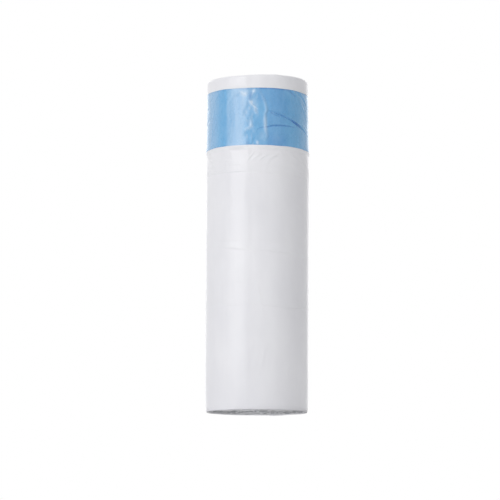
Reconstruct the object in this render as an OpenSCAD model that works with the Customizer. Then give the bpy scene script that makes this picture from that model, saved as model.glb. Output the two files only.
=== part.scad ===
// Litter box liner roll: coreless roll of folded film liners with the drawstring tape of the
// outermost liner lying in its hem, near the upper end. It stands on its lower end.
// Millimetres, +Z up, origin at the centre of the lower end, -Y is the front.

/* [Roll] */
// Length of the roll, which is the width of the folded liners
roll_len = 150; // [110:1:260]
// Diameter of the roll below the hem
roll_d = 46; // [34:0.5:80]
// How much thinner the roll gets from the tape's lower edge to its upper end, on the diameter
head_taper = 0.6; // [0:0.1:2]
// Rounding of the film edges at both ends
end_round = 1.2; // [0.6:0.1:2.5]

/* [Free edge] */
// Thickness of the folded film that ends at the free edge
film_step = 0.25; // [0.1:0.05:0.5]
// Angle from the front to the free edge, towards the left
edge_angle = 8.5; // [-60:0.5:60]

/* [Winding at the ends] */
// Diameter of the eye left by the winding spindle
eye_d = 5.4; // [3:0.1:12]
// Width of film between the eye and the start of the groove
eye_wall = 0.7; // [0.6:0.1:2]
// Distance between two grooves of the winding
turn_pitch = 1.6; // [1.2:0.05:3]
// Width of a groove between two turns, at the end face
groove_w = 0.7; // [0.3:0.05:1]
// Depth of a groove between two turns
groove_depth = 0.8; // [0.3:0.1:2]
// Least width of film outside the last groove
rim_w = 1.6; // [1.2:0.1:4]

/* [Drawstring tape] */
// Width of the drawstring tape
tape_w = 26.2; // [15:0.1:40]
// Thickness of the gathered tape at its upper edge
tape_t = 0.4; // [0.3:0.05:1]
// Depth to which the tape beds into the film
tape_seat = 0.3; // [0.1:0.05:0.6]
// How much more the tape's lower edge flares out
tape_flare = 0.3; // [0:0.05:0.6]
// Film left between the tape and the upper end
hem_margin = 5.8; // [3:0.1:20]
// Clearance between the tape and the film
tape_gap = 0.05; // [0.03:0.01:0.1]

/* [Hem and folds] */
// Distance from the tape's lower edge to the edge of the hem flap
hem_flap = 12.2; // [4:0.1:30]
// Distance from the hem flap's edge to the first fold that shows through
first_fold = 30.5; // [10:0.5:45]
// Distance from the first to the second fold
second_fold = 29; // [10:0.5:50]
// Width of a fold's crease
crease_w = 0.8; // [0.3:0.1:1.5]
// Depth of a fold's crease
crease_depth = 0.15; // [0.05:0.05:0.4]

/* [Gathers and creases] */
// Number of gathers in the film below the tape
gather_count = 30; // [8:1:48]
// Length of the longest gather
gather_len = 8; // [4:0.5:10]
// How far a gather stands out
gather_rise = 0.3; // [0.1:0.05:0.5]
// Width of a gather
gather_w = 1.6; // [0.8:0.1:3]
// How far the tape's creases stand out
tape_crease_rise = 0.35; // [0.1:0.05:0.6]
// Width of the tape's creases
tape_crease_w = 1.6; // [0.8:0.1:3]

/* [Hidden] */
$fn = 96;
film_white = "#f1f1f5";
tape_blue = "#8fbfe0";
overcut = 0.5;
roll_r = roll_d / 2;
head_r = roll_r - head_taper / 2;
eye_r = eye_d / 2;
groove_start_r = eye_r + eye_wall;
turns = floor((roll_r - rim_w - groove_start_r) / turn_pitch);
tape_top = roll_len - hem_margin;
tape_low = tape_top - tape_w;
flap_z = tape_low - hem_flap;
fold_heights = [flap_z - first_fold - second_fold, flap_z - first_fold, flap_z];
corner_steps = 4;
edge_azimuth = 180 - edge_angle;
// Moves the wound section so that its outline is centred on the axis
wound_shift = [film_step / 4, -film_step / 2, 0];
// Turns the tape until its lower layer is clear of the free edge's step
tape_turn = tape_gap / roll_r * 180 / PI;
// Greatest turn of a gather from its upper to its lower end
gather_slant = 6;
// How deep the sides of a pleat reach into what it stands on
pleat_root = 0.1;
// The tape's creases: each point is an angle from the free edge, positive to the left, and a
// share of the tape's width, from its lower edge. The first is the pucker of the side seal.
tape_creases = [
    [[-14, 0.88], [-18, 0.72], [-20.5, 0.6], [-17.5, 0.38], [-19.5, 0.2], [-15.5, 0.08]],
    [[-21, 0.63], [-30, 0.57], [-41, 0.5], [-51, 0.42], [-65, 0.32], [-80, 0.2]],
    [[-9, 0.28], [-15, 0.33], [-21, 0.35], [-29, 0.37], [-42, 0.36], [-56, 0.31]],
    [[-50, 0.94], [-55, 0.84], [-59, 0.72]],
    [[2, 0.95], [4, 0.7], [1.5, 0.45], [5, 0.2]],
    [[38, 0.93], [42, 0.8], [50, 0.62]]];

// Radius of the roll at a height, less an inset
function wall_r(z, inset) =
    roll_r - inset - (z < tape_low ? 0 : head_taper / 2 * (z - tape_low) / (roll_len - tape_low));

// Radius of the tape's outer face at a height
function tape_r(z) =
    wall_r(z, 0) - tape_seat + tape_gap + tape_t + tape_flare * (tape_top - z) / tape_w;

// How much lower the wound outline lies at an angle from the free edge
function edge_drop(a) = a < 0 ? film_step / 2 * (1 + cos(a)) : 0;

// Quarter round of the film edges, from one angle to another
function quarter(cx, cz, from, to) =
    [for (i = [0:corner_steps]) let (a = from + (to - from) * i / corner_steps)
        [cx + end_round * cos(a), cz + end_round * sin(a)]];

// A path with one more point in the middle of each stretch
function halved(path) =
    [for (i = [0:len(path) - 2]) each [path[i], (path[i] + path[i + 1]) / 2], path[len(path) - 1]];

// The four corners of a pleat's section at a point of its path: one foot, the crest, the other
// foot and the root. Across is the direction across the pleat, as a turn and a rise.
function pleat_ring(at, across, r, width, rise) =
    [for (corner = [[-1, -pleat_root], [0, rise], [1, -pleat_root], [0, -2 * pleat_root]])
        let (a = at[0] + across[0] * corner[0] * width / 2 * 180 / PI / r,
             z = at[1] + across[1] * corner[0] * width / 2)
        [(r + corner[1]) * sin(a), (r + corner[1]) * cos(a), z]];

// A ridge along a path of angles and heights, on a wall of the radii given for its points. It
// swells like a sine from the start angle to 180 degrees.
module pleat(path, radii, width, rise, start) {
    last = len(path) - 1;
    points = [for (i = [0:last])
        let (d = path[min(i + 1, last)] - path[max(i - 1, 0)],
             along = [d[0] * PI / 180 * radii[i], d[1]],
             across = [-along[1], along[0]] / norm(along),
             swell = sin(start + (180 - start) * i / last))
        each pleat_ring(path[i], across, radii[i], width, (rise + pleat_root) * swell - pleat_root)];
    sides = [for (i = [0:last - 1], k = [0:3]) let (a = 4 * i + k, b = 4 * i + (k + 1) % 4)
        each [[a, a + 4, b], [b, a + 4, b + 4]]];
    end = 4 * last;
    caps = [[0, 1, 3], [1, 2, 3], [end, end + 3, end + 1], [end + 1, end + 3, end + 2]];
    polyhedron(points, concat(sides, caps));
}

// Puts what is inside on the axis of the wound section, with the free edge on +Y
module wound_frame() {
    translate(wound_shift) rotate([0, 0, edge_azimuth]) children();
}

// Revolves the two halves of the wound section: the outer film on one side of the free edge,
// and on the other side the film one layer lower, which meets it smoothly at the back
module wind(turn = 0) {
    wound_frame() rotate([0, 0, turn]) {
        rotate([0, 0, -90]) rotate_extrude(angle = 180) children(0);
        translate([0, -film_step / 2, 0]) rotate([0, 0, 90]) rotate_extrude(angle = 180) children(1);
    }
}

// Half section of the roll with its rounded ends, creases and the bed of the tape
module roll_section(inset) {
    r = roll_r - inset;
    creases = [for (z = fold_heights) each
        [[r, z - crease_w / 2], [r - crease_depth, z], [r, z + crease_w / 2]]];
    polygon(concat(
        [[0, 0]],
        quarter(r - end_round, end_round, -90, 0),
        creases,
        [[r, tape_low - tape_gap],
         [r - tape_seat, tape_low - tape_gap],
         [wall_r(tape_top, inset) - tape_seat, tape_top + tape_gap],
         [wall_r(tape_top, inset), tape_top + tape_gap]],
        quarter(head_r - inset - end_round, roll_len - end_round, 0, 90),
        [[0, roll_len]]));
}

// Half section of the tape, bedded in the roll and flared at its lower edge
module tape_section(inset) {
    low_in = wall_r(tape_low, inset) - tape_seat + tape_gap;
    top_in = wall_r(tape_top, inset) - tape_seat + tape_gap;
    polygon([
        [low_in, tape_low],
        [low_in + tape_t + tape_flare, tape_low],
        [top_in + tape_t, tape_top],
        [top_in, tape_top]]);
}

// Groove between two turns, seen in section at the lower end
module groove_section() {
    polygon([
        [-groove_w / 2, -overcut],
        [groove_w / 2, -overcut],
        [groove_w / 2, 0],
        [0, groove_depth],
        [-groove_w / 2, 0]]);
}

// Spiral groove of the winding, one half ring after the other from near the eye to the rim
module winding_groove() {
    wound_frame()
        for (turn = [1:turns]) {
            r = groove_start_r + turn * turn_pitch;
            rotate([0, 0, -90]) rotate_extrude(angle = 180) translate([r, 0]) groove_section();
            translate([0, -turn_pitch / 2, 0]) rotate([0, 0, 90]) rotate_extrude(angle = 180)
                translate([r - turn_pitch / 2, 0]) groove_section();
        }
}

// Gathers of the film below the tape, longer and shorter by turns, strongest at the free edge
module film_gathers() {
    high = tape_low - tape_gap - gather_w / 3;
    wound_frame()
        for (i = [0:gather_count - 1]) {
            a = 360 * (i + 0.5) / gather_count - 180 + 3 * sin(97 * i);
            reach = 0.65 + 0.35 * sin(61 * i);
            path = halved(halved([[a, high],
                                  [a + gather_slant * sin(73 * i) * reach, high - gather_len * reach]]));
            pleat(path, [for (p = path) wall_r(p[1], 0) - edge_drop(p[0])], gather_w,
                gather_rise * (0.7 + 0.3 * cos(a)), 60);
        }
}

// Creases of the tape
module tape_folds() {
    wound_frame()
        for (crease = tape_creases) {
            path = halved([for (p = crease) [p[0], tape_low + tape_w * p[1]]]);
            pleat(path, [for (p = path) tape_r(p[1]) - edge_drop(p[0])], tape_crease_w,
                tape_crease_rise, 0);
        }
}

module liner_film_roll() {
    color(film_white) {
        difference() {
            wind() {
                roll_section(0);
                roll_section(film_step / 2);
            }
            winding_groove();
            translate([0, 0, roll_len]) mirror([0, 0, 1]) winding_groove();
            translate(wound_shift + [0, 0, -overcut]) cylinder(r = eye_r, h = roll_len + 2 * overcut);
        }
        film_gathers();
    }
}

module drawstring_tape() {
    color(tape_blue) {
        wind(tape_turn) {
            tape_section(0);
            tape_section(film_step / 2);
        }
        tape_folds();
    }
}

liner_film_roll();
drawstring_tape();
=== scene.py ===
"""Looks of the litter box liner roll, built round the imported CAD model.

A coreless roll of folded white film liners stands on its lower end. The blue drawstring tape of the
outermost liner shows as a band near the upper end. Lengths below are millimetres until a piece is
finished. Places on the wall are (angle, height) pairs: the angle is in degrees from the front, -Y,
and positive to the right.
"""

import math

import bmesh
import bpy
import numpy as np
from mathutils import Matrix, Vector


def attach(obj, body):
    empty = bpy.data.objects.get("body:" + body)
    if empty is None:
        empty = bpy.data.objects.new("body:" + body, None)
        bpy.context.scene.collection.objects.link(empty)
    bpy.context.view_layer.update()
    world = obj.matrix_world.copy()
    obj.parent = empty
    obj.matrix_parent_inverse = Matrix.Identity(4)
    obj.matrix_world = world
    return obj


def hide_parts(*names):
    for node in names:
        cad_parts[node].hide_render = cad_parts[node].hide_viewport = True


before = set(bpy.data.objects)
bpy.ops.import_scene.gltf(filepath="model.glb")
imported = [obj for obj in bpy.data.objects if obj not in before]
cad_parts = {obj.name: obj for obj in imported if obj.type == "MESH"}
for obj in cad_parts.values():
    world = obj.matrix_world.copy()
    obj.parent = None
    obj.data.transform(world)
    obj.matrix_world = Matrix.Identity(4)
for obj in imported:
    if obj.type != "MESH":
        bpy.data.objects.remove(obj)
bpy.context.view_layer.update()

MM = 0.001
ROLL_LENGTH = 150.0
ROLL_RADIUS = 23.03
LINING_RADIUS = 22.0
EYE_RADIUS = 2.7
TAPE_LOW = 118.0
TAPE_MIDDLE = 131.0
TAPE_TOP = 143.95
HEM_FLAP = 105.8
# Thickness of the folded film that ends at the free edge
FILM_STEP = 0.22

# Faces that meet at a greater angle than this, in radians, keep a sharp edge between them
SHARP_TURN = 1.0

# Rows of a piece's mesh lie close together within this distance of a busy height
BUSY_REACH = 1.0

# Half the height of a fold line's step, and the height at which the film is back above it
FOLD_STEP = 0.294
FOLD_END = 3.78

# The floor's middle is open under the roll, whose lower end the photo looks at from below
FLOOR_HOLE = 22.2
FLOOR_RADIUS = 2000.0

# Radius of the wall at a height: the film draws in a little at both ends and over the tape
WALL_HEIGHTS = [0.0, 0.8, 1.7, 7.6, 14.0, 109.0, 116.0, 144.3, 146.8, 148.8, 149.5]
WALL_RADII = [22.62, 22.78, 22.92, 23.1, 23.2, 23.2, 23.06, 22.9, 22.9, 22.87, 22.8]

# Outer radius of the tape at a height: its lower edge stands off the film
TAPE_HEIGHTS = [117.6, 118.3, 119.2, 120.2, 122.0, 131.0, 142.0, 144.6]
TAPE_RADII = [23.46, 23.45, 23.33, 23.22, 23.14, 23.0, 22.9, 22.86]
TAPE_THICKNESS = 0.34
TAPE_CLEARANCE = 0.05

# The least thickness that a crease leaves of the tape, and the largest radius of the bed under it
TAPE_LEAST = 0.05
BED_RADIUS = 22.9


# Surface shapes

def ripple(angle, height, count, turns, rises, seed):
    """Smooth unevenness between about -1 and 1 that closes on itself round the roll."""
    draw = np.random.default_rng(seed)
    total = np.zeros_like(angle)
    for _ in range(count):
        around = draw.integers(turns[0], turns[1] + 1)
        along = draw.uniform(-1, 1) * rises
        phase = draw.uniform(0, 2 * math.pi)
        total += np.sin(np.radians(angle) * around + height * along + phase)
    return total / math.sqrt(count)


def turn_between(angle, other):
    """Signed turn in degrees from one angle to the other, the short way round."""
    return (angle - other + 180) % 360 - 180


def smooth(edge0, edge1, value):
    """Soft step from 0 at the first edge to 1 at the second."""
    t = np.clip((value - edge0) / (edge1 - edge0), 0, 1)
    return t * t * (3 - 2 * t)


def span(rise0, rise1, fall0, fall1, value):
    """1 between a soft step up and a soft step down, and 0 outside them."""
    return smooth(rise0, rise1, value) * (1 - smooth(fall0, fall1, value))


def hump(distance, width):
    """1 where the distance is 0, falling softly to nearly 0 at twice the width."""
    return np.exp(-(distance / width) ** 2)


def crease(lift, angle, height, path, width, rise, lip=0.0, taper=0.5):
    """Adds one crease along a path of places. It is a ridge, or a groove where rise is negative.

    Beside it, on the left of the path as it runs, the film goes the other way: by the lip, which is
    a share of the rise.
    """
    points = np.array(path, float)
    scale = math.radians(1) * ROLL_RADIUS
    steps = np.diff(points, axis=0) * [scale, 1]
    lengths = np.hypot(steps[:, 0], steps[:, 1])
    centre = points.mean(axis=0)
    reach = 3.2 * width
    extent = np.abs(points - centre).max(axis=0) + [reach / scale, reach]
    close = np.flatnonzero((np.abs(turn_between(angle, centre[0])) < extent[0])
                           & (np.abs(height - centre[1]) < extent[1]))
    near = np.full(close.shape, np.inf)
    share = np.zeros(close.shape)
    side = np.ones(close.shape)
    for index, (step, length) in enumerate(zip(steps, lengths)):
        across = turn_between(angle[close], points[index, 0]) * scale
        up = height[close] - points[index, 1]
        t = np.clip((across * step[0] + up * step[1]) / length**2, 0, 1)
        away = np.hypot(across - t * step[0], up - t * step[1])
        closer = away < near
        near[closer] = away[closer]
        share[closer] = ((lengths[:index].sum() + t * length) / lengths.sum())[closer]
        side[closer] = np.sign(step[0] * up - step[1] * across)[closer]
    swell = np.sin(math.pi * np.clip(share, 0.02, 0.98)) ** taper
    offset = near / width
    shape = hump(offset, 1)
    if lip:
        shape -= lip * hump(offset * side - 1.5, 0.9)
    lift[close] += rise * swell * shape


def ring_fold(lift, angle, height, places, rise, seed):
    """A fold line that shows right round the roll: heights between the places, wandering behind.

    At the line the film steps out by the rise, and it comes back over the next millimetres.
    """
    around = turn_between(angle, 0)
    line = np.interp(around, *zip(*sorted(places)), period=360)
    behind = smooth(70, 110, np.abs(around))
    above = height - line - 0.5 * behind * ripple(angle, height * 0, 5, (2, 7), 0, seed)
    fade = 0.6 + 0.2 * ripple(angle, height * 0, 4, (3, 11), 0, seed + 1)
    fade += 0.9 * span(-15, 35, 60, 90, around)
    lift += rise * fade * span(-FOLD_STEP, FOLD_STEP, FOLD_STEP, FOLD_END, above)


# Building pieces

def sheet(profile, columns):
    """A flat sheet with a row for each point of a profile, before it is rolled up.

    Gives the mesh, and each vertex's share along the sheet, from -0.5 to 0.5, its row, and the two
    values of its point of the profile. The last row lies on the first again.
    """
    bm = bmesh.new()
    rows = len(profile)
    bmesh.ops.create_grid(bm, x_segments=columns, y_segments=rows, size=0.5)
    flat = np.array([v.co for v in bm.verts])
    row = np.rint((flat[:, 1] + 0.5) * rows).astype(int) % rows
    points = np.array(profile, float)[row]
    return bm, flat[:, 0], row, points[:, 0], points[:, 1]


def rolled_ring(profile, columns):
    """A sheet rolled into a closed ring: its columns go round the roll, its rows round the profile.

    Gives the mesh, and each vertex's row, angle, radius and height for the shaping that follows.
    """
    bm, share, row, radius, height = sheet(profile, columns)
    return bm, row, gathered_columns(share * 360), radius, height


def move_to(bm, angle, radius, height, lean=0.0):
    """Puts every vertex at its angle, radius and height. The lean moves it along X."""
    turn = np.radians(angle)
    places = np.stack([radius * np.sin(turn) + lean, -radius * np.cos(turn), height], axis=1)
    for vert, place in zip(bm.verts, places.tolist()):
        vert.co = place


def head_lean(height):
    """The upper end of the roll stands a fifth of a millimetre to the left."""
    return -0.2 * smooth(139, 146, height)


def gathered_columns(angle):
    """Draws the columns of a ring closer together near the free edge, where the photo looks."""
    turn = np.radians(angle)
    return np.degrees(turn - 0.3 * np.sin(turn))


def finish_piece(bm, name, material, node):
    """Turns the faces outwards, scales to metres and hands the piece to the frame."""
    bmesh.ops.remove_doubles(bm, verts=bm.verts, dist=1e-5)
    bmesh.ops.recalc_face_normals(bm, faces=bm.faces)
    bmesh.ops.scale(bm, vec=(MM, MM, MM), verts=bm.verts)
    for face in bm.faces:
        face.smooth = True
    for edge in bm.edges:
        edge.smooth = edge.calc_face_angle(0) < SHARP_TURN
    mesh = bpy.data.meshes.new(name)
    bm.to_mesh(mesh)
    bm.free()
    mesh.materials.append(material)
    piece = bpy.data.objects.new(name, mesh)
    bpy.context.scene.collection.objects.link(piece)
    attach(piece, "root")
    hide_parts(node)


def rows_between(low, high, pitch, busy=(), fine_pitch=0.25):
    """Heights from low to high, closer together round the busy ones."""
    heights = [low]
    while heights[-1] < high:
        gap = min((abs(heights[-1] - z) for z in busy), default=2 * BUSY_REACH)
        share = min(max(gap / BUSY_REACH - 1, 0), 1)
        heights.append(heights[-1] + fine_pitch + (pitch - fine_pitch) * share)
    heights[-1] = high
    return heights


# Measured rings, creases and marks

# The flap's edge and the fold lines, as places round the roll
HEM_FLAP_RING = [(-75, 106.1), (-59, 106.2), (-40, 105.8), (-19, 105.8), (-1, 105.8),
                 (14, 105.2), (33, 104.7), (52, 104.6), (68, 104.1), (120, 104.9), (-130, 106.4)]
HEM_FAINT_RING = [(-40, 109.6), (-19, 109.1), (-1, 109.3), (14, 109.0), (33, 107.9),
                  (56, 107.5), (120, 108.2), (-110, 109.9)]
FOLD_RING_HIGH = [(-73, 76.0), (-54, 75.4), (-31, 75.1), (-17, 75.2), (-1, 75.2), (14, 75.2),
                  (29, 75.3), (40, 74.5), (56, 74.2), (76, 74.2), (130, 75.2), (-130, 76.3)]
FOLD_RING_LOW = [(-73, 73.2), (-58, 73.2), (-41, 72.5), (-19, 71.2), (-1, 71.0), (14, 70.3),
                 (32, 69.8), (49, 69.4), (63, 69.1), (83, 68.9), (130, 70.2), (-130, 73.0)]
SECOND_FOLD_RING = [(-74, 47.2), (-57, 47.3), (-45, 46.9), (-31, 46.3), (-14, 46.3), (1, 46.5),
                    (12, 46.1), (24, 45.6), (34, 45.4), (110, 46.2), (-130, 47.4)]

# How far the upper rim stands above or below its plane: angle, rise
UPPER_RIM = [(-90, -0.25), (-47, -0.24), (-15, -0.2), (-8, -0.05), (-1, 0.08), (6, 0.03), (12, 0.14),
             (19, 0.4), (26, 0.21), (34, 0.28), (50, 0.34), (70, 0.22), (120, 0.02), (180, -0.15)]

# Each crease of the hem, the wall and the tape: its path of places, width, rise and lip
HEM_CREASES = [
    ([(-4.4, 114.9), (-7.5, 113.2), (-11.5, 111.3)], 0.42, 0.11, 0.7),
    ([(3, 114.1), (-1.5, 112.8), (-7, 110.9)], 0.42, 0.12, 0.7),
    ([(11.4, 113.8), (6, 112.7), (0.5, 111.1)], 0.45, 0.13, 0.6),
    ([(21, 113.7), (16, 112.9), (10, 111.8)], 0.5, 0.11, 0.6),
    ([(24, 114.5), (14, 111.8), (10, 110.2)], 0.6, 0.12, 0.5),
    ([(42, 116.6), (56, 114.6), (78, 110.4)], 0.6, 0.07, 0.6),
    ([(38, 114.4), (54, 112.0), (74, 107.6)], 0.6, 0.08, 0.7),
    ([(28, 111.6), (44, 110.0), (60, 107.2), (72, 104.2)], 0.5, 0.08, 0.6),
    ([(-56, 112.8), (-40, 111.6), (-26, 110.9)], 0.5, 0.05, 0.5),
    ([(30, 117.2), (45, 113.2), (60, 110.2)], 0.7, 0.06, 0.5),
    ([(52, 108.9), (64, 107.6), (80, 104.9)], 0.6, 0.13, 0.5),
    ([(60, 113.0), (72, 110.6), (84, 107.8)], 0.6, 0.13, 0.5),
    ([(-78, 115.0), (-66, 112.4), (-58, 111.0)], 0.6, 0.14, 0.5),
    ([(-80, 107.4), (-70, 108.8), (-58, 110.2)], 0.5, 0.12, 0.5),
    ([(-55, 109.6), (-69.5, 109.0)], 0.6, 0.10, 0.4),
    ([(-30, 117.0), (-44, 112.6), (-58, 111.2)], 0.9, 0.06, 0.4),
    ([(20, 117.4), (30, 113.8)], 0.7, 0.07, 0.3),
]
LINER_CREASES = [
    ([(48.5, 91.3), (62, 88.8), (76, 85.4)], 0.6, 0.2, 0.6),
    ([(60, 93.6), (78.5, 88.9)], 0.5, 0.16, 0.5),
    ([(52, 65.6), (79, 63.0)], 0.5, 0.14, 0.5),
    ([(-3.5, 105), (1.5, 96.7), (-1.2, 93.1)], 0.8, 0.045, 0.5),
    ([(-4.8, 71.3), (-5.2, 66.2), (-3.2, 63.0)], 0.6, -0.06, 0.5),
    ([(-3.2, 63.0), (3.5, 60.4), (3.5, 55.9)], 0.6, 0.05, 0.5),
    ([(-1.0, 57.2), (3.5, 49.2), (6.2, 43.0), (9.2, 41.2)], 0.6, 0.06, 0.5),
    ([(-2.2, 33.2), (-5.0, 28.7), (-8.2, 19.4)], 0.6, 0.05, 0.4),
    ([(4.2, 26.1), (-0.5, 21.6), (-2.8, 18.9)], 0.6, 0.05, 0.4),
    ([(14.8, 32.4), (8.2, 26.1), (5.0, 19.0), (-0.5, 11.0)], 0.7, 0.06, 0.5),
    ([(43, 23.1), (36, 17.6), (36, 14.0)], 0.7, 0.08, 0.4),
    ([(27, 9.9), (17, 6.2)], 0.6, 0.07, 0.4),
    ([(19.5, 5.3), (14, 1.3)], 0.6, 0.07, 0.4),
    ([(-46, 94.0), (-45, 87.2)], 0.6, -0.05, 0.4),
    ([(-35.5, 99.5), (-26, 93.4)], 0.6, 0.03, 0.4),
    ([(-31, 56.2), (-17, 56.1), (-3, 56.3)], 0.5, -0.03, 0.6),
]

# Left of this line, on the roll's left side, the tape gets painted sheen: height, angle
TAPE_ARC = [(118, -64.5), (125.3, -63.7), (137.1, -61.2), (140.1, -56.5), (142, -50), (144, -44)]

# The seal at the tape's end, where the liner's side weld puckers it
TAPE_SEAL = [(-9, 142.6), (-10.8, 140), (-11, 136.7), (-12.8, 134.1), (-14.3, 131.2),
             (-15.5, 127.6), (-16, 125), (-13, 121), (-11, 118)]
TAPE_RIDGE = [(3.6, 141.2), (6.6, 138.2), (8.8, 135.2), (9.4, 133.8), (7.8, 132), (7.7, 129.6),
              (8.1, 126.6), (8.9, 124), (9.6, 122.2), (8.0, 120.2)]
TAPE_CREASES = [
    (TAPE_RIDGE, 0.72, 0.28, 0.3),
    (TAPE_SEAL[:4], 0.7, -0.05, 0.5),
    ([(-9.5, 138.2), (-8.2, 137), (-6.8, 136)], 0.55, 0.24, 0.3),
    ([(-7, 136.3), (-3, 135.3), (-0.5, 134.4)], 0.4, 0.16, 0.5),
    ([(-3.4, 134.6), (-2.5, 132.9), (-0.5, 132.1)], 0.42, 0.17, 0.4),
    ([(-7.8, 129.4), (-7, 126.8), (-12.5, 125)], 0.55, 0.18, 0.5),
    ([(-8, 122), (-6.5, 120), (-7.5, 118.6)], 0.5, 0.14, 0.4),
    ([(12.5, 133.5), (19, 132), (25, 131.1)], 0.3, -0.16, 0.9),
    ([(15, 133.5), (27, 131.9), (36.5, 130.7), (45, 129.3), (57, 127.6), (75, 124.6)],
     0.36, -0.32, 1.0),
    ([(58, 129.4), (68, 128.0), (78, 126.2)], 0.4, 0.14, 0.3),
    ([(-0.5, 124.9), (2, 125.7), (10, 126.3), (18, 127), (32, 127.3), (47, 127.1)],
     0.27, -0.22, 1.1),
    ([(36, 143.6), (43, 142.6), (48, 141.2)], 0.5, -0.2, 0.8),
    ([(49, 143.4), (60, 141.1), (73, 137.6)], 0.6, -0.2, 0.8),
    ([(55, 139), (66, 135.2), (76, 130)], 0.7, 0.2, 0.6),
    ([(-51, 141.7), (-58.5, 138.6), (-63.5, 133), (-66, 125)], 0.9, -0.05, 0.8),
    ([(-20, 142.4), (-15, 141.2), (-11.5, 142.2)], 0.6, 0.2, 0.3),
    ([(-6.5, 142.2), (-2, 142.8)], 0.6, 0.16, 0.3),
    ([(-0.5, 118.0), (-0.5, 120.0)], 0.5, 0.16, 0.2),
]

# Deeper blue painted along the tape's creases and folds, partly for the tape folded double and partly as
# painted shade in its creases and the gap by the seal: path, width, strength
TAPE_FOLD_AND_SHADE = [
    ([(15, 133.4), (27, 131.8), (36.5, 130.6), (45, 129.2), (57, 127.5), (75, 124.5)], 0.2, 0.6),
    ([(41, 130.0), (48, 128.8), (57, 127.4)], 0.5, 0.95),
    ([(12.5, 133.4), (19, 131.9), (25, 131.0)], 0.16, 0.5),
    ([(-0.5, 124.9), (2, 125.6), (10, 126.2), (18, 126.9), (32, 127.2), (47, 127.0)], 0.18, 0.7),
    ([(36, 143.5), (43, 142.4), (48, 141.0)], 0.4, 0.5),
    ([(-7.4, 142.0), (-8.6, 140.2), (-10, 138.0)], 0.55, 0.55),
    ([(-22, 143.8), (-16, 143.7), (-9, 143.8)], 0.35, 0.5),
    ([(-13, 118.6), (-10, 119.4)], 0.6, 0.4),
]

# Where the tape stands off the film under it, or the film over it is loose, it looks milky; on the ridge
# and the raised creases this paleness is partly a painted highlight
TAPE_MILKY_AND_HIGHLIGHT = [
    (TAPE_RIDGE, 0.7, 0.3),
    ([(8.2, 130.8), (8.2, 124.2)], 0.75, 0.45),
    ([(-20, 142.2), (-15, 140.9), (-11.5, 141.8)], 0.9, 0.7),
    ([(-6.8, 142.4), (-2.2, 142.6)], 0.9, 0.6),
    ([(-9.4, 138), (-7.6, 136.6)], 0.6, 0.7),
    ([(-7, 136.2), (-0.5, 134.3)], 0.4, 0.4),
    ([(-3.2, 134.4), (-0.8, 132.0)], 0.8, 0.4),
    ([(-4.5, 139.5), (-4, 133)], 1.6, 0.3),
    ([(-9, 130), (-7.2, 126.4), (-12, 125)], 0.8, 0.5),
    ([(-0.5, 118.2), (-0.5, 119.8)], 0.6, 0.7),
    ([(6, 124), (4, 120)], 1.6, 0.22),
]


def loose_creases(seed, count, angles, heights, lengths, slant, width, rise):
    """Creases of the sides that the photo doesn't show, of the same kinds as those it does."""
    draw = np.random.default_rng(seed)
    made = []
    for _ in range(count):
        angle = draw.uniform(*angles)
        height = draw.uniform(*heights)
        length = draw.uniform(*lengths)
        lean = math.radians(draw.normal(slant, 16))
        path = [(angle, height)]
        for _ in range(3):
            lean += math.radians(draw.normal(0, 10))
            angle += length / 3 * math.cos(lean) / ROLL_RADIUS * 180 / math.pi
            height += length / 3 * math.sin(lean)
            path.append((angle, height))
        size = draw.uniform(0.6, 1.2)
        made.append((path, width * size, rise * size * draw.choice([-1, 1]), 0.5))
    return made


def free_edge(angle, height):
    """How much deeper the wall lies, in thicknesses of the film that ends at the free edge.

    It deepens by one from left to right of that edge, and comes back evenly once round the roll.
    """
    heights = [0, 12, 19, 28, 41, 49, 60, 66, 75, 93, 105, 150]
    places = [-9, -8, -9, -8, -7, -8, -8, -9, -8, -9, -9, -9]
    gone = turn_between(angle, np.interp(height, heights, places))
    half = 4.5 + 1.5 * np.sin(height * 0.21) + np.sin(height * 0.47 + 1)
    return smooth(-half, half, gone) - (gone + 180) / 360


def film_lift(angle, height, creases):
    """How far the film stands off the round wall, in millimetres."""
    lift = -FILM_STEP * free_edge(angle, height)
    lift += 0.045 * ripple(angle, height, 9, (1, 5), 0.05, 3)
    lift += 0.016 * ripple(angle, height, 14, (5, 22), 0.035, 5)
    lift += 0.006 * ripple(angle, height, 20, (25, 70), 0.05, 7)
    for path, width, rise, lip in creases:
        crease(lift, angle, height, path, width, rise, lip)
    return lift


# The film of the outermost liner

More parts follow.
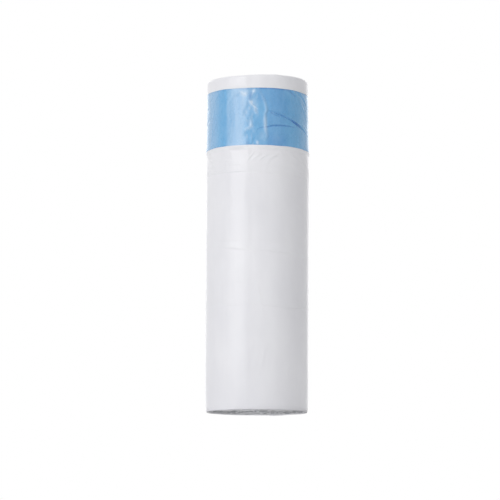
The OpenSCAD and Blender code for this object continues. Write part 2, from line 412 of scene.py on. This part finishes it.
def build_liner_wall(material):
    """Outer film from the lower end to just under the hem flap."""
    # Heights of the lower rim, the fold lines and the flap's edge
    busy = [0.6, 46.2, 56.2, 69.8, 72.0, 75.2, 104.3, 105.6, 106.5]
    outside = rows_between(0.8, HEM_FLAP + 1.4, 0.9, busy)
    lip = [(22.68, 0.35), (22.55, 0.12), (22.35, 0.0), (22.12, 0.03), (LINING_RADIUS, 0.3)]
    profile = [(ROLL_RADIUS, z) for z in reversed(outside)] + lip
    profile += [(LINING_RADIUS, 2.0), (LINING_RADIUS, 54), (LINING_RADIUS, HEM_FLAP + 1.4)]
    bm, row, angle, radius, height = rolled_ring(profile, 540)
    outer = row < len(outside)
    creases = LINER_CREASES + loose_creases(11, 46, (85, 270), (6, 100), (5, 16), 80, 0.7, 0.10)
    creases += loose_creases(12, 22, (80, 275), (60, 102), (6, 14), 5, 0.6, 0.09)
    lift = film_lift(angle, height, creases)
    ring_fold(lift, angle, height, FOLD_RING_HIGH, 0.04, 21)
    ring_fold(lift, angle, height, FOLD_RING_LOW, 0.12, 23)
    ring_fold(lift, angle, height, SECOND_FOLD_RING, 0.10, 25)
    # The film is held tighter at the lower end, and goes under the flap at the upper one
    calm = 0.4 + 0.6 * smooth(0.0, 5.0, height)
    over_edge = height - flap_edge(angle)
    under_flap = 0.18 * smooth(-0.15, 0.35, over_edge)
    wall = np.interp(height, WALL_HEIGHTS, WALL_RADII)
    radius = np.where(outer, wall + lift * calm - under_flap, radius)
    in_lip = ~outer & (row < len(outside) + len(lip) - 1)
    radius = np.where(in_lip, radius + lift * 0.4, radius)
    # The lower rim: bent film edges, which stand down a little behind on the right
    rim = 0.05 + 0.04 * ripple(angle, height * 0, 9, (2, 19), 0, 31)
    rim += 0.1 * smooth(100, 140, np.abs(turn_between(angle, 0)))
    rim -= 0.3 * hump(turn_between(angle, 155), 9)
    height = height + np.where(height < 4, np.clip(rim, 0, 0.4) * (1 - height / 4), 0)
    move_to(bm, angle, radius, height)
    finish_piece(bm, "liner_wall", material, "liner_film_roll")


def flap_edge(angle):
    """Height of the hem flap's edge round the roll."""
    around = turn_between(angle, 0)
    edge = np.interp(around, *zip(*sorted(HEM_FLAP_RING)), period=360)
    return edge + 0.3 * smooth(70, 110, np.abs(around)) * ripple(angle, angle * 0, 5, (2, 9), 0, 37)


def build_hem(material):
    """Hem of the outermost liner: its flap lies over the liner wall, and the tape beds in it."""
    outside = rows_between(HEM_FLAP, TAPE_LOW - 0.12, 0.27)
    outside += [TAPE_LOW - 0.02, TAPE_LOW + 0.25, 118.7, 120, 123, 127, TAPE_MIDDLE, 135, 139, 142, 143.4]
    outside += [TAPE_TOP + 0.01] + rows_between(TAPE_TOP + 0.05, 149.1, 0.25)
    rim_rows = [(22.76, 149.45), (22.68, 149.75), (22.5, 149.95), (22.25, 149.97)]
    flap = [(ROLL_RADIUS, HEM_FLAP + 1.7), (ROLL_RADIUS, HEM_FLAP + 0.7), (ROLL_RADIUS, HEM_FLAP)]
    profile = [(ROLL_RADIUS, z) for z in outside] + rim_rows
    profile += [(LINING_RADIUS, 149.5), (LINING_RADIUS, 148), (LINING_RADIUS, HEM_FLAP + 1.7)] + flap
    bm, row, angle, radius, height = rolled_ring(profile, 640)
    outer = row < len(outside)
    in_rim = ~outer & (row < len(outside) + len(rim_rows))
    under_flap = row >= len(profile) - len(flap)
    lift = film_lift(angle, height, HEM_CREASES + gathers(17))
    ring_fold(lift, angle, height, HEM_FAINT_RING, 0.06, 27)
    # The flap stands out by its thickness, and its edge is turned in a little
    lift += 0.06 * (1 - smooth(HEM_FLAP + 0.7, HEM_FLAP + 6, height))
    lift -= 0.08 * (1 - smooth(HEM_FLAP, HEM_FLAP + 0.6, height))
    # The film swells to meet the tape's lower edge
    lift += 0.36 * smooth(TAPE_LOW - 2.4, TAPE_LOW - 0.3, height) * (height < TAPE_LOW + 4)
    wall = np.interp(height, WALL_HEIGHTS, WALL_RADII)
    low, top = tape_edges(angle)
    bed = np.interp(height, TAPE_HEIGHTS, TAPE_RADII) - TAPE_THICKNESS - TAPE_CLEARANCE
    bed = np.minimum(bed, BED_RADIUS) - FILM_STEP * free_edge(angle, height)
    in_bed = smooth(TAPE_LOW - 0.05, TAPE_LOW + 0.3, height) * (height < TAPE_TOP + 0.03)
    lift *= 1 - span(TAPE_LOW, TAPE_LOW + 0.8, 143.4, 145.4, height)
    lift += 0.05 * ripple(angle, height, 12, (6, 30), 0.3, 33) * smooth(144.4, 147, height)
    moved = (wall + lift) * (1 - in_bed) + in_bed * bed
    radius = np.where(outer, moved, radius)
    radius = np.where(in_rim, radius + lift * 0.6, radius)
    radius = np.where(under_flap, wall + lift - 0.09, radius)
    # The edges of the bed follow the tape's, and the flap's edge follows the measured ring
    near_low = smooth(TAPE_LOW - 2, TAPE_LOW - 0.2, height) * (height < TAPE_MIDDLE)
    height = height + (low - TAPE_LOW) * near_low
    near_top = (height > TAPE_MIDDLE) * (1 - smooth(TAPE_TOP + 0.2, 146.5, height))
    height = height + (top - TAPE_TOP) * near_top
    height = height + (flap_edge(angle) - HEM_FLAP) * (1 - smooth(HEM_FLAP, HEM_FLAP + 6, height))
    rim = np.interp(turn_between(angle, 0), *zip(*UPPER_RIM), period=360)
    rim += 0.03 * ripple(angle, height * 0, 9, (5, 24), 0, 35)
    height = height + rim * smooth(146, 149.6, height)
    move_to(bm, angle, radius, height, head_lean(height))
    finish_piece(bm, "hem", material, "liner_film_roll")


def gathers(seed):
    """Gathers of the hem below the tape, all round, strongest at the right and behind."""
    draw = np.random.default_rng(seed)
    made = []
    angle = -178.0
    while angle < 178:
        strength = 0.2 + 0.8 * smooth(25, 80, abs(angle - 5))
        lean = draw.normal(5, 6)
        reach = draw.uniform(3, 8.5)
        path = [(angle, 118.1), (angle + lean * 0.3, 117.9 - reach * 0.5), (angle + lean, 117.9 - reach)]
        made.append((path, draw.uniform(0.5, 0.9), 0.15 * strength * draw.uniform(0.4, 1.2), 0.3))
        angle += draw.uniform(5, 13)
    return made


# Drawstring tape

def tape_edges(angle):
    """Heights of the tape's lower and upper edge, which wander a little."""
    across = np.sin(np.radians(angle))
    low = TAPE_LOW - 0.08 * across + 0.04 * ripple(angle, angle * 0, 8, (3, 17), 0, 51)
    low -= 0.3 * smooth(35, 75, np.abs(turn_between(angle, 0)))
    top = TAPE_TOP - 0.05 * across + 0.04 * ripple(angle, angle * 0, 8, (3, 17), 0, 53)
    top -= 0.18 * hump(turn_between(angle, -18), 14)
    top -= 0.28 * span(35, 65, 110, 170, turn_between(angle, 0))
    return low, top


def tape_relief(angle, height, seal):
    """How far the tape's face stands off its smooth flare: waves, puckers and creases."""
    lift = 0.05 * ripple(angle, height, 9, (1, 6), 0.12, 43)
    lift += 0.022 * ripple(angle, height, 16, (7, 26), 0.25, 45)
    lift += 0.010 * ripple(angle, height, 20, (30, 80), 0.5, 47)
    lift += 0.05 * hump(turn_between(angle, -3), 10) * ripple(angle, height, 18, (20, 60), 1.6, 49)
    lift += 0.07 * hump(seal - 1, 5) * ripple(angle, height, 12, (8, 26), 1.3, 55)
    creases = TAPE_CREASES + loose_creases(61, 34, (85, 275), (121, 142), (4, 14), 10, 0.6, 0.14)
    creases += loose_creases(62, 10, (-62, -20), (120, 142), (3, 8), 75, 0.6, 0.05)
    for path, width, rise, lip in creases:
        crease(lift, angle, height, path, width, rise, lip)
    return lift


def tape_fold_and_shade(angle, height, share):
    """How much deeper blue the tape gets, from 0 to 1: where it is folded double, and painted shade in
    its creases and gaps. The share is up its width.
    """
    fold_and_shade = np.zeros_like(angle)
    for path, width, strength in TAPE_FOLD_AND_SHADE:
        crease(fold_and_shade, angle, height, path, width, strength, 0, 0.4)
    # Right of the ridge, most at the lower edge, and left of it near the upper edge
    fold_and_shade += 0.2 * span(7, 13, 26, 40, angle) * (1.6 - 0.6 * smooth(120, 125, height))
    fold_and_shade += 0.2 * span(-4, 2, 8, 12, angle) * smooth(136, 139, height)
    # Along the tape's own edges
    fold_and_shade += 0.12 * (1 - smooth(0, 0.03, share))
    fold_and_shade += (0.1 + 0.4 * span(-2, 4, 28, 44, angle)) * smooth(0.965, 1, share)
    return np.clip(fold_and_shade, 0, 1)


def tape_milky_and_highlight(angle, height, seal):
    """How pale the tape is painted, from 0 to 1: cloudy where it or the film over it lies slack, and
    painted highlight and sheen where the key light falls on it.
    """
    milky_and_highlight = np.zeros_like(angle)
    for path, width, strength in TAPE_MILKY_AND_HIGHLIGHT:
        crease(milky_and_highlight, angle, height, path, width, strength, 0, 0.4)
    blotches = np.clip(ripple(angle, height, 14, (30, 90), 1.8, 59), 0, 2)
    milky_and_highlight += 0.22 * blotches * hump(seal - 5, 6)
    milky_and_highlight += 0.12 * span(-4, 2, 3, 11, seal) * smooth(122, 126, height)
    # Painted highlight of the key softbox over cloudy film: the field left of the seal is paler, with a
    # clearer place in its middle
    haze_and_highlight_field = smooth(-39.5, -34.5, angle) * (1 - smooth(-6, 4, seal))
    cloudy = 0.06 * ripple(angle, height, 9, (10, 40), 0.4, 57)
    milky_and_highlight += haze_and_highlight_field * (0.28 + cloudy + 0.14 * smooth(-29, -23, angle))
    milky_and_highlight -= 0.14 * haze_and_highlight_field * hump(turn_between(angle, -27), 1.5) * hump(height - TAPE_MIDDLE, 6)
    # Painted sheen: the left side of the roll, and what lies left of the arc, are paler
    milky_and_highlight += 0.24 * span(-120, -85, -58, -42, angle)
    past_arc = angle - np.interp(height, *zip(*TAPE_ARC))
    milky_and_highlight += 0.1 * (1 - smooth(-2, 1.5, past_arc)) * smooth(-100, -80, angle)
    return np.clip(milky_and_highlight, 0, 1)


def build_tape(material):
    """The tape: a thin flat band in the hem, creased and puckered at the front."""
    rows = 128
    outside = [TAPE_LOW + (TAPE_TOP - TAPE_LOW) * i / rows for i in range(rows + 1)]
    inside = [TAPE_TOP - 0.05, 141, 136, TAPE_MIDDLE, 126, 122, 120, 119, 118.3, TAPE_LOW]
    profile = [(ROLL_RADIUS, z) for z in outside + inside]
    bm, row, angle, _, height = rolled_ring(profile, 680)
    low, top = tape_edges(angle)
    share = (height - TAPE_LOW) / (TAPE_TOP - TAPE_LOW)
    height = low + (top - low) * share
    seal_heights, seal_angles = zip(*sorted((z, a) for a, z in TAPE_SEAL))
    # Degrees from the seal's line
    seal = turn_between(angle, np.interp(height, seal_heights, seal_angles))
    # The tape thins and its creases fade towards both edges
    thin = 0.25 + 0.75 * span(0, 0.06, 0.97, 1, share)
    relief = tape_relief(angle, height, seal) * (0.3 + 0.7 * span(0, 0.05, 0.96, 1, share))
    flare = np.interp(height, TAPE_HEIGHTS, TAPE_RADII) - FILM_STEP * free_edge(angle, height)
    back = flare - TAPE_THICKNESS * thin
    face = np.maximum(flare + relief, back + TAPE_LEAST)
    paint(bm, "fold_and_shade", tape_fold_and_shade(angle, height, share))
    paint(bm, "milky_and_highlight", tape_milky_and_highlight(angle, height, seal))
    radius = np.where(row < len(outside), face, back)
    move_to(bm, angle, radius, height, head_lean(height))
    finish_piece(bm, "tape_band", material, "drawstring_tape")


def paint(bm, name, values):
    """Keeps a value at each vertex, which the piece's material reads."""
    layer = bm.verts.layers.float.new(name)
    for vert, value in zip(bm.verts, values.tolist()):
        vert[layer] = value


# Wound turns

def build_wound_turns(material):
    """The film inside: a long folded strip wound from the eye to the outer film, seen at both ends."""
    pitch = 0.85
    thickness = 0.74
    turns = (LINING_RADIUS - 0.1 - EYE_RADIUS) / pitch
    columns = int(turns * 300)
    # Section of the strip, rounded at both ends: share of its thickness, height
    section = [(-0.5, 1.9), (-0.46, 0.75), (-0.3, 0.25), (0.0, 0.02), (0.3, 0.25), (0.46, 0.75),
               (0.5, 1.9), (0.5, 148.1), (0.46, 149.25), (0.3, 149.75), (0.0, 149.98),
               (-0.3, 149.75), (-0.46, 149.25), (-0.5, 148.1)]
    bm, share, _, across, height = sheet(section, columns)
    along = (share + 0.5) * turns
    angle = along * 360
    middle = EYE_RADIUS + pitch / 2 + along * pitch * (turns - 1) / turns
    lower = height < ROLL_LENGTH / 2
    # Distance along the strip: the upper end takes another stretch of the same waves
    start = np.where(lower, 0.0, 400.0)
    run = np.radians(angle) * (EYE_RADIUS + pitch / 2 + middle) / 2 + start
    taper = span(0, 0.15, turns - 0.3, turns, along)
    thick = thickness * (0.84 + 0.09 * wander(run, (31, 13, 6), 2)) * (0.25 + 0.75 * taper)
    sway = 0.16 * ripple(angle, middle, 8, (2, 7), 0.25, 71) * span(2.7, 8, 18.5, 21.5, middle)
    radius = middle + across * thick + sway
    # The film's edges stand in by some tenths of a millimetre, more or less from turn to turn
    depth = 0.6 + 0.16 * wander(run, (57, 23), 5)
    depth += 0.16 * np.sin(middle * 1.9 + start) + 0.12 * np.sin(middle * 3.7 + 1)
    depth -= 0.55 * smooth(0.7, 1.5, wander(run, (9.5, 5.3), 9))
    depth += 0.5 * (1 - smooth(2.7, 5.2, middle)) + 0.25 * smooth(19.5, 21.3, middle)
    proud = hump(turn_between(angle, -52), 16) + hump(turn_between(angle, 48), 20)
    depth -= np.where(lower, 0.5 * proud * smooth(10, 16, middle), 0)
    depth = np.clip(depth, 0.04, 1.5)
    height = np.where(lower, height + depth, height - depth)
    standing = np.minimum(height, ROLL_LENGTH - height)
    # Painted shade: the film greys deeper into the ends, between the turns, fully at the lower end and
    # about a third as much at the upper one
    paint(bm, "recess_shade", smooth(0.15, 0.65, standing) * np.where(lower, 1.0, 0.35))
    move_to(bm, angle, radius, height, head_lean(height))
    bmesh.ops.remove_doubles(bm, verts=bm.verts, dist=1e-5)
    bmesh.ops.holes_fill(bm, edges=[e for e in bm.edges if e.is_boundary], sides=0)
    finish_piece(bm, "wound_turns", material, "liner_film_roll")


def wander(run, lengths, seed):
    """Unevenness along the wound strip: waves of the given lengths, a little out of step."""
    draw = np.random.default_rng(seed)
    total = np.zeros_like(run)
    for length in lengths:
        for stretch in (0.83, 1.0, 1.29):
            total += np.sin(2 * math.pi * run / (length * stretch) + draw.uniform(0, 2 * math.pi))
    return total / math.sqrt(1.5 * len(lengths))


# Materials

def linear(hex_colour):
    """Turns an sRGB hex colour into the linear values that the shaders take."""
    values = [int(hex_colour[i:i + 2], 16) / 255 for i in (1, 3, 5)]
    return [v / 12.92 if v <= 0.04045 else ((v + 0.055) / 1.055) ** 2.4 for v in values] + [1.0]


def add(tree, kind, values=None, links=None, **settings):
    """Adds a node with its settings, its socket values and the outputs linked to its inputs."""
    node = tree.nodes.new(kind)
    for name, value in settings.items():
        setattr(node, name, value)
    for socket, value in (values or {}).items():
        node.inputs[socket].default_value = value
    for socket, (source, output) in (links or {}).items():
        tree.links.new(source.outputs[output], node.inputs[socket])
    return node


def new_material(name):
    """An empty material and its object coordinates."""
    material = bpy.data.materials.new(name)
    material.use_nodes = True
    tree = material.node_tree
    tree.nodes.clear()
    return material, tree, add(tree, "ShaderNodeTexCoord")


def grain(tree, coords, cell, detail, roughness=0.5):
    """Noise whose cells have the given size in millimetres along x, y and z."""
    scale = [1 / (MM * size) for size in cell]
    spot = add(tree, "ShaderNodeMapping", {"Scale": scale}, {"Vector": (coords, "Object")})
    return add(tree, "ShaderNodeTexNoise", {"Scale": 1.0, "Detail": detail, "Roughness": roughness},
               {"Vector": (spot, 0)})


def spread(tree, source, low, high, from_low=0.3, from_high=0.7):
    """Spreads a noise's values between two numbers."""
    return add(tree, "ShaderNodeMapRange",
               {"From Min": from_low, "From Max": from_high, "To Min": low, "To Max": high},
               {"Value": (source, 0)})


def liner_film_material():
    """HDPE film, blown and folded: satin white, a little milky, with faint streaks along the web."""
    material, tree, coords = new_material("hdpe_film_satin_white")
    clouds = grain(tree, coords, (16, 16, 34), 3)
    streaks = grain(tree, coords, (0.8, 0.8, 70), 1)
    crinkle = grain(tree, coords, (2.6, 2.6, 3.4), 3, 0.6)
    tone = spread(tree, clouds, 0, 1)
    colour = add(tree, "ShaderNodeMix", {6: linear("#ECECF1"), 7: linear("#F4F4F8")},
                 {0: (tone, 0)}, data_type="RGBA")
    rough = spread(tree, clouds, 0.28, 0.34)
    fine = add(tree, "ShaderNodeBump", {"Strength": 1.0, "Distance": 0.005 * MM},
               {"Height": (streaks, 0)})
    soft = add(tree, "ShaderNodeBump", {"Strength": 1.0, "Distance": 0.03 * MM},
               {"Height": (crinkle, 0), "Normal": (fine, 0)})
    shader = add(tree, "ShaderNodeBsdfPrincipled", {"IOR": 1.5},
                 {"Base Color": (colour, 2), "Roughness": (rough, 0), "Normal": (soft, 0)})
    add(tree, "ShaderNodeOutputMaterial", links={"Surface": (shader, 0)})
    return material


def film_edge_material():
    """Cut and folded edges of the wound film: the same film, with fine rings of single layers, and
    painted shade that greys the film lying deeper between the turns, most at the lower end.
    """
    material, tree, coords = new_material("hdpe_film_wound_edges")
    parts = add(tree, "ShaderNodeSeparateXYZ", links={0: (coords, "Object")})
    flat = add(tree, "ShaderNodeCombineXYZ", links={0: (parts, 0), 1: (parts, 1)})
    out = add(tree, "ShaderNodeVectorMath", links={0: (flat, 0)}, operation="LENGTH")
    # The distance from the axis, counted in layers, and a slow drift of the layers round the roll
    ring = add(tree, "ShaderNodeMath", {1: 1 / (FILM_STEP * MM)}, {0: (out, "Value")},
               operation="MULTIPLY")
    drift = spread(tree, grain(tree, coords, (5, 5, 40), 2), 0, 6, 0, 1)
    spot = add(tree, "ShaderNodeMath", links={0: (ring, 0), 1: (drift, 0)}, operation="ADD")
    layers = add(tree, "ShaderNodeTexNoise", {"Scale": 1.0, "Detail": 2.0}, {"W": (spot, 0)},
                 noise_dimensions="1D")
    tone = spread(tree, layers, 0, 1)
    layered = add(tree, "ShaderNodeMix", {6: linear("#DADBDF"), 7: linear("#F7F7F9")},
                  {0: (tone, 0)}, data_type="RGBA")
    # Painted shade: greyer where the film lies deeper between the turns
    recess_shade = add(tree, "ShaderNodeAttribute", attribute_name="recess_shade")
    colour = add(tree, "ShaderNodeMix", {7: linear("#ACAEB3")}, {0: (recess_shade, "Fac"), 6: (layered, 2)},
                 data_type="RGBA")
    rough = spread(tree, layers, 0.4, 0.6)
    bump = add(tree, "ShaderNodeBump", {"Strength": 1.0, "Distance": 0.04 * MM},
               {"Height": (layers, 0)})
    shader = add(tree, "ShaderNodeBsdfPrincipled", {"IOR": 1.5},
                 {"Base Color": (colour, 2), "Roughness": (rough, 0), "Normal": (bump, 0)})
    add(tree, "ShaderNodeOutputMaterial", links={"Surface": (shader, 0)})
    return material


def tape_material():
    """LDPE drawstring tape, blown film: glossy mid blue, paler where it is creased or thin, partly as
    cloudy film and partly as painted highlight and sheen, and deeper blue where folded double, with
    painted shade in its creases.
    """
    material, tree, coords = new_material("ldpe_tape_gloss_blue")
    clouds = grain(tree, coords, (9, 9, 14), 3)
    haze = grain(tree, coords, (3.2, 3.2, 5), 4, 0.65)
    crinkle = grain(tree, coords, (1.5, 1.5, 2.2), 3, 0.6)
    tone = spread(tree, clouds, 0, 1)
    colour = add(tree, "ShaderNodeMix", {6: linear("#64A8DB"), 7: linear("#75B5E3")},
                 {0: (tone, 0)}, data_type="RGBA")
    pale_share = spread(tree, haze, 0, 0.12, 0.5, 0.75)
    fold_and_shade = add(tree, "ShaderNodeAttribute", attribute_name="fold_and_shade")
    milky_and_highlight = add(tree, "ShaderNodeAttribute", attribute_name="milky_and_highlight")
    pale_share = add(tree, "ShaderNodeMath", links={0: (pale_share, 0), 1: (milky_and_highlight, "Fac")}, operation="ADD",
               use_clamp=True)
    # Deeper blue where the tape is folded double, and painted shade in its creases and gaps
    deep = add(tree, "ShaderNodeMix", {7: linear("#3576C0")}, {0: (fold_and_shade, "Fac"), 6: (colour, 2)},
               data_type="RGBA")
    # Paler where the tape is cloudy, and painted highlight and sheen where the key light falls on it
    pale = add(tree, "ShaderNodeMix", {7: linear("#C8DEF4")}, {0: (pale_share, 0), 6: (deep, 2)},
               data_type="RGBA")
    rough = spread(tree, haze, 0.22, 0.36)
    soft = add(tree, "ShaderNodeBump", {"Strength": 1.0, "Distance": 0.018 * MM},
               {"Height": (crinkle, 0)})
    shader = add(tree, "ShaderNodeBsdfPrincipled",
                 {"IOR": 1.51, "Coat Weight": 0.25, "Coat Roughness": 0.18},
                 {"Base Color": (pale, 2), "Roughness": (rough, 0), "Normal": (soft, 0)})
    add(tree, "ShaderNodeOutputMaterial", links={"Surface": (shader, 0)})
    return material


# Stage: floor, world, lamps, camera

def seen_ray(tree):
    """1 for a ray of the camera, or one that a mirroring or clear surface sends on, and else 0."""
    path = add(tree, "ShaderNodeLightPath")
    seen = add(tree, "ShaderNodeMath", links={0: (path, "Is Camera Ray"), 1: (path, "Is Glossy Ray")},
               operation="MAXIMUM")
    return add(tree, "ShaderNodeMath", links={0: (seen, 0), 1: (path, "Is Transmission Ray")},
               operation="MAXIMUM")


def build_floor():
    """A pale floor. It is open under the roll and clear from below, where the photo looks from."""
    material, tree, coords = new_material("studio_floor_pale")
    side = add(tree, "ShaderNodeNewGeometry")
    out = add(tree, "ShaderNodeVectorMath", links={0: (coords, "Object")}, operation="LENGTH")
    # Further from the roll, the floor fades into the white surroundings where it is seen
    fade = add(tree, "ShaderNodeMapRange", {"From Min": 0.12, "From Max": 0.5},
               {"Value": (out, "Value")}, interpolation_type="SMOOTHSTEP")
    far = add(tree, "ShaderNodeMath", links={0: (fade, 0), 1: (seen_ray(tree), 0)},
              operation="MULTIPLY")
    clear = add(tree, "ShaderNodeMath", links={0: (far, 0), 1: (side, "Backfacing")},
                operation="MAXIMUM")
    shade = add(tree, "ShaderNodeBsdfDiffuse", {"Color": linear("#FAFAFA")})
    window = add(tree, "ShaderNodeBsdfTransparent")
    mix = add(tree, "ShaderNodeMixShader", links={0: (clear, 0), 1: (shade, 0), 2: (window, 0)})
    add(tree, "ShaderNodeOutputMaterial", links={"Surface": (mix, 0)})
    bm = bmesh.new()
    ends = [bm.verts.new((0, -radius * MM, 0)) for radius in (FLOOR_HOLE, FLOOR_RADIUS)]
    line = bm.edges.new(ends)
    bmesh.ops.spin(bm, geom=ends + [line], cent=(0, 0, 0), axis=(0, 0, 1), dvec=(0, 0, 0),
                   angle=2 * math.pi, steps=96, use_merge=True)
    bmesh.ops.recalc_face_normals(bm, faces=bm.faces)
    if bm.faces[:][0].normal.z < 0:
        bmesh.ops.reverse_faces(bm, faces=bm.faces)
    mesh = bpy.data.meshes.new("floor")
    bm.to_mesh(mesh)
    bm.free()
    mesh.materials.append(material)
    floor = bpy.data.objects.new("floor", mesh)
    bpy.context.scene.collection.objects.link(floor)


def light_world():
    """Even pale surroundings, white where the camera or a reflection sees them."""
    world = bpy.data.worlds.new("studio")
    bpy.context.scene.world = world
    world.use_nodes = True
    tree = world.node_tree
    tree.nodes.clear()
    power = add(tree, "ShaderNodeMapRange", {"To Min": 0.30, "To Max": 1.0},
                {"Value": (seen_ray(tree), 0)})
    sky = add(tree, "ShaderNodeBackground", {"Color": (1, 1, 1, 1)}, {"Strength": (power, 0)})
    add(tree, "ShaderNodeOutputWorld", links={"Surface": (sky, 0)})


def hang_softbox(name, azimuth, elevation, distance, width, height, watts):
    """A rectangular softbox that faces the roll's middle. Angles are in degrees, lengths in metres.

    The azimuth is from the front, positive to the right.
    """
    turn = math.radians(azimuth)
    rise = math.radians(elevation)
    aim = Vector((math.sin(turn) * math.cos(rise), -math.cos(turn) * math.cos(rise), math.sin(rise)))
    lamp = bpy.data.lights.new(name, "AREA")
    lamp.shape = "RECTANGLE"
    lamp.size = width
    lamp.size_y = height
    lamp.energy = watts
    softbox = bpy.data.objects.new(name, lamp)
    softbox.location = Vector((0, 0, ROLL_LENGTH / 2 * MM)) + aim * distance
    softbox.rotation_euler = aim.to_track_quat("Z", "Y").to_euler()
    bpy.context.scene.collection.objects.link(softbox)


def place_camera():
    """The photo's camera, which stands below the level of the floor and looks a little up.

    Its place, in metres, and its turns, in radians, were fitted to the roll's outline.
    """
    position = Vector((0, -1.24612, -0.07799))
    pitch = 0.12103
    yaw = -0.0027
    roll = -0.0043
    forward = Vector((math.sin(yaw) * math.cos(pitch), math.cos(yaw) * math.cos(pitch), math.sin(pitch)))
    right = Vector((math.cos(yaw), -math.sin(yaw), 0))
    up = right.cross(forward)
    tilted_right = right * math.cos(roll) - up * math.sin(roll)
    tilted_up = right * math.sin(roll) + up * math.cos(roll)
    lens = bpy.data.cameras.new("camera")
    lens.sensor_width = 36
    lens.lens = 199.9
    camera = bpy.data.objects.new("camera", lens)
    turn = Matrix((tilted_right, tilted_up, -forward)).transposed()
    camera.matrix_world = Matrix.Translation(position) @ turn.to_4x4()
    bpy.context.scene.collection.objects.link(camera)
    bpy.context.scene.camera = camera


place_camera()
light_world()
# From the front left: shades the roll from left to right and picks out its folds
hang_softbox("key_softbox", -43, 22, 2.2, 1.5, 1.4, 19.0)
# From the front right: keeps the right side pale
hang_softbox("front_fill", 18, 24, 2.2, 2.8, 1.4, 7.6)
# From above: lights the upper end and the floor round the roll
hang_softbox("top_softbox", 180, 80, 1.7, 1.4, 1.4, 8.0)
# From behind: lights the back and grazes the sides
hang_softbox("back_fill", 178, 14, 1.8, 1.6, 0.9, 4.4)
# From low in front: lights the turns at the lower end
hang_softbox("low_front", -14, -9, 1.4, 0.9, 0.2, 7.6)
build_floor()

film = liner_film_material()
build_liner_wall(film)
build_hem(film)
build_wound_turns(film_edge_material())
build_tape(tape_material())

bpy.context.scene.view_settings.view_transform = "Standard"
